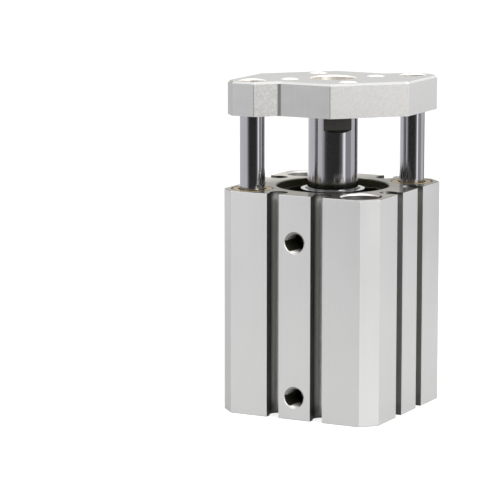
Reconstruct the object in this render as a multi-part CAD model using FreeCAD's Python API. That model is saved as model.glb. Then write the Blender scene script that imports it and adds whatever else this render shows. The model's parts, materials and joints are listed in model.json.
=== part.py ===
import FreeCAD, Part
import math
import os

from FreeCAD import Vector

# Compact guide-rod pneumatic cylinder, drawn partly out.
# Units are millimetres. The origin is the centre of the body's bottom face, +Z runs along the piston rod
# towards the end plate, and the two air ports open on the -Y face.

# Driving dimensions: cylinder
BORE = 25.0
STROKE = 20.0
REST_EXTENSION = 12.3            # how far the rod is drawn out in the stored pose
RETRACTED_GAP = 5.0              # between the body and the end plate with the rod fully in
STOP_CLEARANCE = 0.1             # left between the piston and each bumper at the end of the stroke

# Driving dimensions: end closures
RECESS_STEP = 0.7                # radial step that each cover seats on
MOUTH_CHAMFER = 0.3
RING_THICKNESS = 1.0
RING_GROOVE_DEPTH = 0.7
RING_WIDTH = 2.4                 # radial width of a retaining ring
RING_LUG_LENGTH = 4.6            # radial length of the lugs beside the ring's gap
RING_LUG_WIDTH = 3.6
RING_GAP = 5.0
RING_PLIER_HOLE = 1.5
ROD_RING_INSET = 1.6             # from the body's top face down to the upper ring
BOTTOM_RING_INSET = 0.5          # from the body's bottom face up to the lower ring
BOTTOM_COVER_THICKNESS = 2.7
ROD_COVER_LENGTH = 9.9           # from the chamber to the upper ring
ROD_COVER_FLANGE = 2.5
ROD_COVER_NECK = 3.0             # waisted length beside the rod-side port
ROD_COVER_NOSE_WALL = 1.5
ROD_COVER_NOSE_INSET = 0.7       # nose stops this far below the body's top face
AIR_SPACE = 2.3                  # between the rod cover's neck and the bore

# Driving dimensions: piston
PISTON_LENGTH = 14.0
PISTON_REAR_FLANGE = 2.4
MAGNET_LENGTH = 3.1
MAGNET_RADIAL = 3.2
MAGNET_SETBACK = 0.25            # magnet lies this far inside the piston's skirt
PISTON_SEAL_LENGTH = 3.0
PISTON_SEAL_DEPTH = 2.2
PISTON_SEAL_LAND = 3.0           # from the joint of the piston's halves to the seal groove
SPIGOT_SHOULDER = 2.0            # radial shoulder where the rod enters the piston
RIVET_HEAD_RISE = 1.3            # radial spread of the rod's riveted end
RIVET_HEAD_INSET = 0.3

# Driving dimensions: soft parts
GASKET_WIDTH = 1.6
GASKET_DEPTH = 1.2
GASKET_ROUNDING = 0.4
ROD_SEAL_RADIAL = 2.5
ROD_SEAL_LENGTH = 3.2
ROD_SEAL_LAND = 2.6              # solid nose above the rod seal
SEAL_LIP_NOTCH = 0.7
BUMPER_STAND = 0.8               # how far a bumper stands out of its groove
BUMPER_SEAT = 1.0
BUMPER_RADIAL = 2.4
BUMPER_LAND = 0.8                # metal left outside a bumper's groove
BUMPER_ROUNDING = 0.3

# Driving dimensions: rods
ROD_DIAMETER = 12.0
ROD_ACROSS_FLATS = 10.0
ROD_FLAT_LENGTH = 3.8
ROD_FLAT_SLOPE = 0.65            # drop of the flats' lower shoulders for each millimetre outwards
ROD_FLAT_TURN = 38.0             # degrees from -Y towards +X that one flat faces
GUIDE_ROD_DIAMETER = 6.0
GUIDE_ROD_END_GAP = 2.0          # guide rods stop this far above the bottom face, rod fully in
GUIDE_ROD_CHAMFER = 0.6
GUIDE_HOLE_CLEARANCE = 0.5
GUIDE_BUSH_WALL = 2.0
GUIDE_BUSH_LENGTH = 10.0
GUIDE_BUSH_SPACING = 8.5         # between the upper and the lower bush
GUIDE_BUSH_CHAMFER = 0.4

# Driving dimensions: body
RING_TO_CORNER_WALL = 0.9        # from the upper ring's groove to the holes in the corners
CORNER_TO_FACE_WALL = 1.0        # from the largest corner hole to the body's side faces
CORNER_CHAMFER = 3.4
EDGE_BREAK = 0.1                 # small chamfer round the body's sawn ends
MOUNT_HOLE_DIAMETER = 5.5
MOUNT_COUNTERBORE_DIAMETER = 9.0
MOUNT_COUNTERBORE_DEPTH = 7.0
MOUNT_CHAMFER = 0.4
PORT_THREAD_DIAMETER = 5.0
PORT_THREAD_DEPTH = 5.5
PORT_PASSAGE_DIAMETER = 1.8
PORT_CHAMFER = 0.1
HEAD_PORT_LAND = 0.1             # from the bottom cover up to the head-side port's passage
ROD_PORT_RISE = 1.5              # rod-side port above the chamber's top
GROOVE_SPACING = 11.2            # between the two sensor grooves of a face
GROOVE_OPENING = 3.1
GROOVE_DIAMETER = 4.2
GROOVE_DEPTH = 3.0               # from the face to the middle of the groove's round part

# Driving dimensions: end plate
PLATE_THICKNESS = 8.0
PLATE_SIDE_SETBACK = 0.5         # plate's long ends from the body's side faces
PLATE_EAR_SETBACK = 1.8          # ears from the port face
PLATE_WAIST_SETBACK = 6.1        # straight middle stretch from the port face
PLATE_EAR_REACH = 2.5            # ear's straight front past the guide rod's centre
PLATE_CORNER_CUT = 2.4
PLATE_INNER_FILLET = 1.2
PLATE_EDGE_CHAMFER = 0.5
DRIVER_CLEARANCE = 1.25          # plate's cut corners from the mounting counterbores
PLATE_TAP_DIAMETER = 4.0
PLATE_TAP_PITCH = 15.0
PLATE_HOLE_CHAMFER = 0.3
GUIDE_SOCKET_DEPTH = 3.0         # guide rods enter the plate this far

# Driving dimensions: screws
ROD_SCREW_THREAD = 6.0
ROD_SCREW_HEAD = 10.0
ROD_SCREW_HEAD_HEIGHT = 4.0
ROD_SCREW_SOCKET = 5.0
ROD_SCREW_RECESS = 1.5           # head below the plate's top face
ROD_SCREW_GRIP = 12.0            # length of thread in the piston rod
GUIDE_SCREW_THREAD = 3.0
GUIDE_SCREW_HEAD = 5.5
GUIDE_SCREW_HEAD_HEIGHT = 2.9
GUIDE_SCREW_SOCKET = 2.5
GUIDE_SCREW_RECESS = 0.45
GUIDE_SCREW_GRIP = 7.0
SCREW_HOLE_CLEARANCE = 0.25
SCREW_HEAD_CLEARANCE = 0.25
SCREW_SOCKET_SHARE = 0.55        # depth of a hex socket as a share of the head's height
SCREW_EDGE = 0.3
TAPPED_HOLE_SPARE = 2.0          # tapped holes run this far past their screws

# Fits
SEAT_CLEARANCE = 0.02
RUNNING_CLEARANCE = 0.03
SKIRT_CLEARANCE = 0.05

# Radii
bore_radius = BORE / 2
rod_radius = ROD_DIAMETER / 2
recess_radius = bore_radius + RECESS_STEP
ring_groove_radius = recess_radius + RING_GROOVE_DEPTH
guide_rod_radius = GUIDE_ROD_DIAMETER / 2
guide_bush_radius = guide_rod_radius + GUIDE_BUSH_WALL
mount_counterbore_radius = MOUNT_COUNTERBORE_DIAMETER / 2
passage_radius = PORT_PASSAGE_DIAMETER / 2
port_radius = PORT_THREAD_DIAMETER / 2
skirt_radius = bore_radius - SKIRT_CLEARANCE
spigot_radius = rod_radius - SPIGOT_SHOULDER
magnet_outer = skirt_radius - MAGNET_SETBACK
magnet_inner = magnet_outer - MAGNET_RADIAL
neck_radius = bore_radius - AIR_SPACE
nose_radius = rod_radius + ROD_COVER_NOSE_WALL
bumper_outer = neck_radius - BUMPER_LAND
bumper_inner = bumper_outer - BUMPER_RADIAL

# Places across the body
corner_hole_radius = max(guide_bush_radius, mount_counterbore_radius)
corner_distance = ring_groove_radius + RING_TO_CORNER_WALL + corner_hole_radius
corner = corner_distance / math.sqrt(2)
half_width = corner + corner_hole_radius + CORNER_TO_FACE_WALL

# Heights, with the rod fully in
bottom_ring_low = BOTTOM_RING_INSET
bottom_cover_low = bottom_ring_low + RING_THICKNESS
chamber_low = bottom_cover_low + BOTTOM_COVER_THICKNESS
piston_low_in = chamber_low + BUMPER_STAND + STOP_CLEARANCE
chamber_high = piston_low_in + PISTON_LENGTH + STROKE + STOP_CLEARANCE + BUMPER_STAND
rod_ring_low = chamber_high + ROD_COVER_LENGTH
body_top = rod_ring_low + RING_THICKNESS + ROD_RING_INSET
flange_low = rod_ring_low - ROD_COVER_FLANGE
neck_high = chamber_high + ROD_COVER_NECK
nose_top = body_top - ROD_COVER_NOSE_INSET
rod_seal_high = nose_top - ROD_SEAL_LAND
rod_seal_low = rod_seal_high - ROD_SEAL_LENGTH
guide_seat_low = body_top - 2 * GUIDE_BUSH_LENGTH - GUIDE_BUSH_SPACING
head_port_height = chamber_low + HEAD_PORT_LAND + passage_radius
rod_port_height = chamber_high + ROD_PORT_RISE

# Heights of the moving pieces in the stored pose
piston_low = piston_low_in + REST_EXTENSION
piston_joint = piston_low + PISTON_REAR_FLANGE + MAGNET_LENGTH
piston_high = piston_low + PISTON_LENGTH
plate_low = body_top + RETRACTED_GAP + REST_EXTENSION
plate_high = plate_low + PLATE_THICKNESS
guide_rod_low = GUIDE_ROD_END_GAP + REST_EXTENSION
guide_rod_high = plate_low + GUIDE_SOCKET_DEPTH

UP = Vector(0, 0, 1)
ORIGIN = Vector(0, 0, 0)


def cylinder(radius, low, high, x=0.0, y=0.0):
    """Upright cylinder between two heights."""
    return Part.makeCylinder(radius, high - low, Vector(x, y, low))


def cone(radius_low, radius_high, low, high, x=0.0, y=0.0):
    """Upright cone between two heights."""
    return Part.makeCone(radius_low, radius_high, high - low, Vector(x, y, low))


def turned(profile):
    """Solid of revolution about Z from (radius, height) points."""
    points = [Vector(radius, 0, height) for radius, height in profile]
    face = Part.Face(Part.makePolygon(points + points[:1]))
    return face.revolve(ORIGIN, UP, 360)


def ring(inner, outer, low, high):
    """Plain ring of rectangular section."""
    return turned([(inner, low), (outer, low), (outer, high), (inner, high)])


def soft_ring(inner, outer, low, high, rounding):
    """Ring whose section is a rectangle with rounded corners, as a squeezed seal has."""
    plain = ring(inner, outer, low, high)
    rims = [edge for edge in plain.Edges if isinstance(edge.Curve, Part.Circle)]
    return plain.makeFillet(rounding, rims)


def prism(outline, low, high):
    """Upright prism from (x, y) points."""
    points = [Vector(x, y, low) for x, y in outline]
    return Part.Face(Part.makePolygon(points + points[:1])).extrude(Vector(0, 0, high - low))


def hexagon(across_flats, x=0.0, y=0.0):
    """Corner points of a hexagon."""
    reach = across_flats / math.sqrt(3)
    turns = [math.radians(60 * step) for step in range(6)]
    return [(x + reach * math.cos(turn), y + reach * math.sin(turn)) for turn in turns]


def opposite_pair(x, y):
    """A place and the place half a turn round the axis from it."""
    return [(x, y), (-x, -y)]


def save(name, shape):
    """Write one piece."""
    shape.exportStep("parts/" + name + ".step")


def hole_with_edge(radius, chamfer, low, high, x=0.0, y=0.0):
    """Hole tool whose upper rim is chamfered."""
    rim = cone(radius, radius + chamfer, high - chamfer, high, x, y)
    return cylinder(radius, low, high, x, y).fuse(rim)


def bore_tool():
    """Everything that is turned out of the body about its axis."""
    bottom_groove_high = bottom_ring_low + RING_THICKNESS
    rod_groove_high = rod_ring_low + RING_THICKNESS
    return turned([
        (0, 0), (recess_radius + MOUTH_CHAMFER, 0), (recess_radius, MOUTH_CHAMFER),
        (recess_radius, bottom_ring_low), (ring_groove_radius, bottom_ring_low),
        (ring_groove_radius, bottom_groove_high), (recess_radius, bottom_groove_high),
        (recess_radius, chamber_low), (bore_radius, chamber_low),
        (bore_radius, flange_low), (recess_radius, flange_low),
        (recess_radius, rod_ring_low), (ring_groove_radius, rod_ring_low),
        (ring_groove_radius, rod_groove_high), (recess_radius, rod_groove_high),
        (recess_radius, body_top - MOUTH_CHAMFER), (recess_radius + MOUTH_CHAMFER, body_top), (0, body_top),
    ])


def port_tool(height):
    """Tapped air port on the -Y face with its passage into the bore."""
    mouth = Vector(0, -half_width, height)
    inward = Vector(0, 1, 0)
    thread = Part.makeCylinder(port_radius, PORT_THREAD_DEPTH, mouth, inward)
    chamfer = Part.makeCone(port_radius + PORT_CHAMFER, port_radius, PORT_CHAMFER, mouth, inward)
    passage = Part.makeCylinder(passage_radius, half_width - bore_radius / 2, mouth, inward)
    return thread.fuse([chamfer, passage])


def groove_tool():
    """One pair of sensor grooves in the -Y face, the full height of the body."""
    tools = []
    for side in (-1, 1):
        middle = side * GROOVE_SPACING / 2
        left = middle - GROOVE_OPENING / 2
        mouth = Part.makeBox(GROOVE_OPENING, GROOVE_DEPTH, body_top, Vector(left, -half_width, 0))
        round_part = cylinder(GROOVE_DIAMETER / 2, 0, body_top, middle, GROOVE_DEPTH - half_width)
        tools.append(mouth.fuse(round_part))
    return tools


def cylinder_tube():
    """Square extruded body with chamfered corners."""
    block = Part.makeBox(2 * half_width, 2 * half_width, body_top, Vector(-half_width, -half_width, 0))
    uprights = [edge for edge in block.Edges if edge.BoundBox.ZLength > body_top / 2]
    block = block.makeChamfer(CORNER_CHAMFER, uprights)
    rims = [edge for edge in block.Edges if edge.BoundBox.ZLength < EDGE_BREAK]
    block = block.makeChamfer(EDGE_BREAK, rims)
    tools = [bore_tool(), port_tool(head_port_height), port_tool(rod_port_height)]
    for quarter in range(4):
        for groove in groove_tool():
            groove.rotate(ORIGIN, UP, 90 * quarter)
            tools.append(groove)
    for x, y in opposite_pair(corner, corner):
        tools.append(cylinder(guide_bush_radius, guide_seat_low, body_top, x, y))
        tools.append(cylinder(guide_rod_radius + GUIDE_HOLE_CLEARANCE, 0, guide_seat_low, x, y))
    head_seat = body_top - MOUNT_COUNTERBORE_DEPTH
    for x, y in opposite_pair(corner, -corner):
        tools.append(cylinder(MOUNT_HOLE_DIAMETER / 2, 0, body_top, x, y))
        tools.append(hole_with_edge(mount_counterbore_radius, MOUNT_CHAMFER, head_seat, body_top, x, y))
    return block.cut(tools)


def gasket_groove_low(low, high):
    """Lower edge of a gasket groove in the middle of a land."""
    return (low + high - GASKET_WIDTH) / 2


def rod_cover():
    """Turned cover that guides the rod, with a waisted neck beside the port."""
    bearing = rod_radius + RUNNING_CLEARANCE
    spigot = bore_radius - SEAT_CLEARANCE
    flange = recess_radius - SEAT_CLEARANCE
    gasket_floor = spigot - GASKET_DEPTH
    gasket_low = gasket_groove_low(neck_high, flange_low)
    seal_floor = rod_radius + ROD_SEAL_RADIAL
    bumper_floor = chamber_high + BUMPER_SEAT
    return turned([
        (bearing, chamber_high), (bumper_inner, chamber_high),
        (bumper_inner, bumper_floor), (bumper_outer, bumper_floor),
        (bumper_outer, chamber_high), (neck_radius, chamber_high),
        (neck_radius, neck_high), (spigot, neck_high),
        (spigot, gasket_low), (gasket_floor, gasket_low),
        (gasket_floor, gasket_low + GASKET_WIDTH), (spigot, gasket_low + GASKET_WIDTH),
        (spigot, flange_low), (flange, flange_low),
        (flange, rod_ring_low), (nose_radius, rod_ring_low),
        (nose_radius, nose_top), (bearing, nose_top),
        (bearing, rod_seal_high), (seal_floor, rod_seal_high),
        (seal_floor, rod_seal_low), (bearing, rod_seal_low),
    ])


def bottom_cover():
    """Flat cover that closes the head end."""
    rim = recess_radius - SEAT_CLEARANCE
    gasket_low = gasket_groove_low(bottom_cover_low, chamber_low)
    bumper_floor = chamber_low - BUMPER_SEAT
    return turned([
        (0, bottom_cover_low), (rim, bottom_cover_low),
        (rim, gasket_low), (rim - GASKET_DEPTH, gasket_low),
        (rim - GASKET_DEPTH, gasket_low + GASKET_WIDTH), (rim, gasket_low + GASKET_WIDTH),
        (rim, chamber_low), (bumper_outer, chamber_low),
        (bumper_outer, bumper_floor), (bumper_inner, bumper_floor),
        (bumper_inner, chamber_low), (0, chamber_low),
    ])


def cover_gasket(wall, land_low, land_high):
    """Squeezed ring in the groove of a cover that closes against a wall of that radius."""
    low = gasket_groove_low(land_low, land_high) + SEAT_CLEARANCE
    high = low + GASKET_WIDTH - 2 * SEAT_CLEARANCE
    return soft_ring(wall - GASKET_DEPTH, wall - SEAT_CLEARANCE, low, high, GASKET_ROUNDING)


def retaining_ring(low):
    """Internal spring ring with its gap and plier lugs towards +Y."""
    high = low + RING_THICKNESS - SEAT_CLEARANCE
    outer = ring_groove_radius - SEAT_CLEARANCE
    band = ring(outer - RING_WIDTH, outer, low, high)
    lug_start = outer - RING_LUG_LENGTH
    hole_place = lug_start + RING_LUG_WIDTH / 2
    lugs = []
    holes = []
    for side in (-1, 1):
        middle = side * (RING_GAP + RING_LUG_WIDTH) / 2
        near = Vector(middle - RING_LUG_WIDTH / 2, lug_start, low)
        lugs.append(Part.makeBox(RING_LUG_WIDTH, RING_LUG_LENGTH, high - low, near))
        holes.append(cylinder(RING_PLIER_HOLE / 2, low, high, middle, hole_place))
    trim = cylinder(outer, low, high)
    gap = Part.makeBox(RING_GAP, outer, high - low, Vector(-RING_GAP / 2, 0, low))
    return band.fuse(lugs).common(trim).cut([gap] + holes).removeSplitter()


def rod_seal():
    """Lip seal on the rod, open towards the chamber."""
    inner = rod_radius + RUNNING_CLEARANCE
    outer = rod_radius + ROD_SEAL_RADIAL - SEAT_CLEARANCE
    low = rod_seal_low + SEAT_CLEARANCE
    high = rod_seal_high - SEAT_CLEARANCE
    middle = (inner + outer) / 2
    return turned([
        (inner, low), (middle - SEAL_LIP_NOTCH, low), (middle, low + 2 * SEAL_LIP_NOTCH),
        (middle + SEAL_LIP_NOTCH, low), (outer, low), (outer, high), (inner, high),
    ])


def bumper(low):
    """Soft stop ring in a cover's face groove."""
    inner = bumper_inner + SEAT_CLEARANCE
    outer = bumper_outer - SEAT_CLEARANCE
    high = low + BUMPER_SEAT + BUMPER_STAND - SEAT_CLEARANCE
    return soft_ring(inner, outer, low, high, BUMPER_ROUNDING)


def guide_bush(x, y, low):
    """Sintered bush for a guide rod."""
    inner = guide_rod_radius + RUNNING_CLEARANCE
    outer = guide_bush_radius - SEAT_CLEARANCE
    high = low + GUIDE_BUSH_LENGTH
    bush = turned([
        (inner + GUIDE_BUSH_CHAMFER, low), (outer - GUIDE_BUSH_CHAMFER, low),
        (outer, low + GUIDE_BUSH_CHAMFER), (outer, high - GUIDE_BUSH_CHAMFER),
        (outer - GUIDE_BUSH_CHAMFER, high), (inner + GUIDE_BUSH_CHAMFER, high),
        (inner, high - GUIDE_BUSH_CHAMFER),
        (inner, low + GUIDE_BUSH_CHAMFER),
    ])
    bush.translate(Vector(x, y, 0))
    return bush


def piston_rear_half():
    """Head-side half of the piston, with the hub that carries the magnet."""
    hub = magnet_inner - SEAT_CLEARANCE
    flange_high = piston_low + PISTON_REAR_FLANGE
    hole = spigot_radius + SEAT_CLEARANCE
    rivet = hole + RIVET_HEAD_RISE
    rivet_low = piston_low + RIVET_HEAD_INSET
    return turned([
        (rivet, piston_low), (skirt_radius, piston_low), (skirt_radius, flange_high), (hub, flange_high),
        (hub, piston_joint), (hole, piston_joint), (hole, rivet_low + RIVET_HEAD_RISE), (rivet, rivet_low),
    ])


def piston_front_half():
    """Rod-side half of the piston, with the seal groove."""
    hole = spigot_radius + SEAT_CLEARANCE
    gasket = hole + GASKET_DEPTH
    seal_low = piston_joint + PISTON_SEAL_LAND
    seal_high = seal_low + PISTON_SEAL_LENGTH
    seal_floor = skirt_radius - PISTON_SEAL_DEPTH
    return turned([
        (gasket, piston_joint), (skirt_radius, piston_joint),
        (skirt_radius, seal_low), (seal_floor, seal_low),
        (seal_floor, seal_high), (skirt_radius, seal_high),
        (skirt_radius, piston_high), (hole, piston_high),
        (hole, piston_joint + GASKET_WIDTH), (gasket, piston_joint + GASKET_WIDTH),
    ])


def piston_seal():
    """Double-lip seal in the piston's groove."""
    low = piston_joint + PISTON_SEAL_LAND + SEAT_CLEARANCE
    high = low + PISTON_SEAL_LENGTH - 2 * SEAT_CLEARANCE
    inner = skirt_radius - PISTON_SEAL_DEPTH + SEAT_CLEARANCE
    outer = bore_radius - RUNNING_CLEARANCE
    middle = (low + high) / 2
    return turned([
        (inner, low), (outer, low), (outer, middle - SEAL_LIP_NOTCH), (outer - SEAL_LIP_NOTCH, middle),
        (outer, middle + SEAL_LIP_NOTCH), (outer, high), (inner, high),
    ])


def piston_gasket():
    """Squeezed ring between the rod's spigot and the piston."""
    inner = spigot_radius + SEAT_CLEARANCE
    outer = spigot_radius + GASKET_DEPTH
    low = piston_joint + SEAT_CLEARANCE
    return soft_ring(inner, outer, low, low + GASKET_WIDTH - 2 * SEAT_CLEARANCE, GASKET_ROUNDING)


def flat_tool():
    """Tool that mills one wrench flat on the rod's -Y side, with a sloping lower shoulder."""
    flat = ROD_ACROSS_FLATS / 2
    low = plate_low - ROD_FLAT_LENGTH
    drop = ROD_FLAT_SLOPE * (ROD_DIAMETER - flat)
    profile = [(-flat, low), (-ROD_DIAMETER, low - drop), (-ROD_DIAMETER, plate_low), (-flat, plate_low)]
    points = [Vector(-ROD_DIAMETER, y, z) for y, z in profile]
    return Part.Face(Part.makePolygon(points + points[:1])).extrude(Vector(2 * ROD_DIAMETER, 0, 0))


def piston_rod():
    """Hard-chromed rod, riveted into the piston and tapped for the plate screw."""
    rivet = spigot_radius + RIVET_HEAD_RISE
    rivet_low = piston_low + RIVET_HEAD_INSET
    rod = turned([
        (0, rivet_low), (rivet, rivet_low), (spigot_radius, rivet_low + RIVET_HEAD_RISE),
        (spigot_radius, piston_high), (rod_radius, piston_high), (rod_radius, plate_low), (0, plate_low),
    ])
    flats = []
    for turn in (ROD_FLAT_TURN, ROD_FLAT_TURN + 180):
        flat = flat_tool()
        flat.rotate(ORIGIN, UP, turn)
        flats.append(flat)
    tapped_low = plate_low - ROD_SCREW_GRIP - TAPPED_HOLE_SPARE
    return rod.cut(flats + [cylinder(ROD_SCREW_THREAD / 2, tapped_low, plate_low)])


def guide_rod(x, y):
    """Ground guide rod, tapped at the plate end."""
    rod = turned([
        (0, guide_rod_low), (guide_rod_radius - GUIDE_ROD_CHAMFER, guide_rod_low),
        (guide_rod_radius, guide_rod_low + GUIDE_ROD_CHAMFER), (guide_rod_radius, guide_rod_high),
        (0, guide_rod_high),
    ])
    tapped_low = guide_rod_high - GUIDE_SCREW_GRIP - TAPPED_HOLE_SPARE
    rod = rod.cut(cylinder(GUIDE_SCREW_THREAD / 2, tapped_low, guide_rod_high))
    rod.translate(Vector(x, y, 0))
    return rod


def socket_screw(thread, head, head_height, socket, head_top, tip, x=0.0, y=0.0):
    """Socket head screw, head up."""
    head_low = head_top - head_height
    radius = thread / 2 - SEAT_CLEARANCE
    rim = head / 2
    screw = turned([
        (0, tip), (radius - SCREW_EDGE, tip), (radius, tip + SCREW_EDGE), (radius, head_low),
        (rim, head_low), (rim, head_top - SCREW_EDGE), (rim - SCREW_EDGE, head_top), (0, head_top),
    ])
    socket_depth = SCREW_SOCKET_SHARE * head_height
    screw = screw.cut(prism(hexagon(socket), head_top - socket_depth, head_top))
    screw.translate(Vector(x, y, 0))
    return screw


def plate_outline():
    """Plan of the end plate: two ears on the guide rods, corners cut clear of the mounting holes."""
    end = half_width - PLATE_SIDE_SETBACK
    front = half_width - PLATE_EAR_SETBACK
    waist = half_width - PLATE_WAIST_SETBACK
    ear = corner - PLATE_EAR_REACH
    cut = (corner_distance - mount_counterbore_radius - DRIVER_CLEARANCE) * math.sqrt(2)
    half = [
        (-end, PLATE_CORNER_CUT - front), (PLATE_CORNER_CUT - end, -front), (-ear, -front),
        (front - waist - ear, -waist), (cut - waist, -waist), (end, end - cut),
    ]
    return half + [(-x, -y) for x, y in half]


def upright_edges(shape, places):
    """Upright edges of a shape that stand at the given places."""
    found = []
    for edge in shape.Edges:
        box = edge.BoundBox
        for x, y in places:
            offset = math.hypot(box.Center.x - x, box.Center.y - y)
            if box.ZLength > PLATE_THICKNESS / 2 and offset < SEAT_CLEARANCE:
                found.append(edge)
    return found


def end_plate():
    """Plate that ties the piston rod to the two guide rods."""
    outline = plate_outline()
    plate = prism(outline, plate_low, plate_high)
    inner_corner_x, inner_corner_y = outline[3]
    inner_corners = opposite_pair(inner_corner_x, inner_corner_y)
    plate = plate.makeFillet(PLATE_INNER_FILLET, upright_edges(plate, inner_corners))
    rim = [edge for edge in plate.Edges if edge.BoundBox.ZMin > plate_high - SEAT_CLEARANCE]
    plate = plate.makeChamfer(PLATE_EDGE_CHAMFER, rim)
    rod_seat = plate_high - ROD_SCREW_RECESS - ROD_SCREW_HEAD_HEIGHT
    rod_counterbore = ROD_SCREW_HEAD / 2 + SCREW_HEAD_CLEARANCE
    guide_seat = plate_high - GUIDE_SCREW_RECESS - GUIDE_SCREW_HEAD_HEIGHT
    guide_counterbore = GUIDE_SCREW_HEAD / 2 + SCREW_HEAD_CLEARANCE
    tools = [
        hole_with_edge(rod_counterbore, PLATE_HOLE_CHAMFER, rod_seat, plate_high),
        cylinder(ROD_SCREW_THREAD / 2 + SCREW_HOLE_CLEARANCE, plate_low, rod_seat),
    ]
    for x, y in opposite_pair(corner, corner):
        tools.append(hole_with_edge(guide_counterbore, PLATE_HOLE_CHAMFER, guide_seat, plate_high, x, y))
        tools.append(cylinder(GUIDE_SCREW_THREAD / 2 + SCREW_HOLE_CLEARANCE, plate_low, guide_seat, x, y))
        tools.append(cylinder(guide_rod_radius + SEAT_CLEARANCE, plate_low, guide_rod_high, x, y))
    tap = PLATE_TAP_PITCH / 2
    for x, y in opposite_pair(tap, tap) + opposite_pair(tap, -tap):
        tools.append(hole_with_edge(PLATE_TAP_DIAMETER / 2, PLATE_HOLE_CHAMFER, plate_low, plate_high, x, y))
    return plate.cut(tools)


os.makedirs("parts", exist_ok=True)

# Pieces that stay with the body
save("cylinder_tube", cylinder_tube())
save("rod_cover", rod_cover())
save("rod_cover_gasket", cover_gasket(bore_radius, neck_high, flange_low))
save("rod_cover_retaining_ring", retaining_ring(rod_ring_low))
save("rod_seal", rod_seal())
save("bottom_cover", bottom_cover())
save("bottom_cover_gasket", cover_gasket(recess_radius, bottom_cover_low, chamber_low))
save("bottom_retaining_ring", retaining_ring(bottom_ring_low + SEAT_CLEARANCE))
save("rod_side_bumper", bumper(chamber_high - BUMPER_STAND))
save("head_side_bumper", bumper(chamber_low - BUMPER_SEAT + SEAT_CLEARANCE))
for side, (x, y) in zip(("right", "left"), opposite_pair(corner, corner)):
    save("guide_bush_" + side + "_upper", guide_bush(x, y, body_top - GUIDE_BUSH_LENGTH))
    save("guide_bush_" + side + "_lower", guide_bush(x, y, guide_seat_low))

# Pieces that move with the rod
save("piston_rod", piston_rod())
save("piston_front_half", piston_front_half())
save("piston_rear_half", piston_rear_half())
save("magnet_ring", ring(magnet_inner, magnet_outer, piston_low + PISTON_REAR_FLANGE, piston_joint))
save("piston_seal", piston_seal())
save("piston_gasket", piston_gasket())
save("end_plate", end_plate())
save("piston_rod_screw", socket_screw(
    ROD_SCREW_THREAD, ROD_SCREW_HEAD, ROD_SCREW_HEAD_HEIGHT, ROD_SCREW_SOCKET,
    plate_high - ROD_SCREW_RECESS, plate_low - ROD_SCREW_GRIP))
for side, (x, y) in zip(("right", "left"), opposite_pair(corner, corner)):
    save("guide_rod_" + side, guide_rod(x, y))
    save("guide_rod_screw_" + side, socket_screw(
        GUIDE_SCREW_THREAD, GUIDE_SCREW_HEAD, GUIDE_SCREW_HEAD_HEIGHT, GUIDE_SCREW_SOCKET,
        plate_high - GUIDE_SCREW_RECESS, guide_rod_high - GUIDE_SCREW_GRIP, x, y))
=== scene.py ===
import json
import logging
import math
from dataclasses import dataclass
from enum import Enum
from typing import Callable, ClassVar, Sequence

import bpy
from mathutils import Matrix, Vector


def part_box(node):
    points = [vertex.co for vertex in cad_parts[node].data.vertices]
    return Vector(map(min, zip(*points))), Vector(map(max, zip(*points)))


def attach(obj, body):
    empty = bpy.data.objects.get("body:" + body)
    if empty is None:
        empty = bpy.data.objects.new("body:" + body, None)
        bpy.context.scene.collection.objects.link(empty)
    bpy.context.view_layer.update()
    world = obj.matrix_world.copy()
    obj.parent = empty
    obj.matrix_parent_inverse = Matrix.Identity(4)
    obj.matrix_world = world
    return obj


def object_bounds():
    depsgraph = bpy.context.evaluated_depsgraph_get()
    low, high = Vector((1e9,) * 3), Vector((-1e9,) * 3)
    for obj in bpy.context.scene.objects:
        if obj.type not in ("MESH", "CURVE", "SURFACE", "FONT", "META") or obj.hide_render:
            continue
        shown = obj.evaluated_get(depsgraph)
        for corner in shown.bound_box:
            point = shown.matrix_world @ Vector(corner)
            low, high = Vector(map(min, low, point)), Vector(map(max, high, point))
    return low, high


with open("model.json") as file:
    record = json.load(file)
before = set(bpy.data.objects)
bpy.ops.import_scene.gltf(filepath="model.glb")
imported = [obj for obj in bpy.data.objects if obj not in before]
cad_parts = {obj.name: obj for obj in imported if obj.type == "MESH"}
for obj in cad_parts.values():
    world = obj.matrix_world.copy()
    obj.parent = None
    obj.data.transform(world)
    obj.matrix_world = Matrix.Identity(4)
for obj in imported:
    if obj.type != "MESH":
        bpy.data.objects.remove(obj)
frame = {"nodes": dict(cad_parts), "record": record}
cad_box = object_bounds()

# Looks of a compact guide-rod pneumatic cylinder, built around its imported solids.
# Sizes are written in millimetres, and MM turns them into Blender's metres.

MM = 0.001
LOG = logging.getLogger("guided_cylinder")

Colour = tuple[float, float, float]
Sizes = tuple[float, float, float]
Pair = tuple[float, float]
Socket = bpy.types.NodeSocket
Source = float | Socket
Object = bpy.types.Object
Material = bpy.types.Material

WHITE: Colour = (1.0, 1.0, 1.0)


# Places that are read from the frame, in millimetres

def corners(node: str) -> list[list[float]]:
    """Lowest and highest corner of a CAD node, in millimetres, to a hundredth."""
    return [[round(length / MM, 2) for length in corner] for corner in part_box(node)]


MOUNTS = {mount["name"]: mount for mount in frame["record"]["mounts"]}
PORTS = ("head_side", "rod_side")
BODY_HIGH = corners("cylinder_tube")[1]
PLATE_HIGH = corners("end_plate")[1]
GUIDE_OFFSET = round(sum(corner[0] for corner in corners("guide_rod_right")) / 2, 1)
TAP_OFFSET = MOUNTS["plate_tapped_holes"]["dims"]["spacing_x_mm"] / 2


# Node trees

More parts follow.
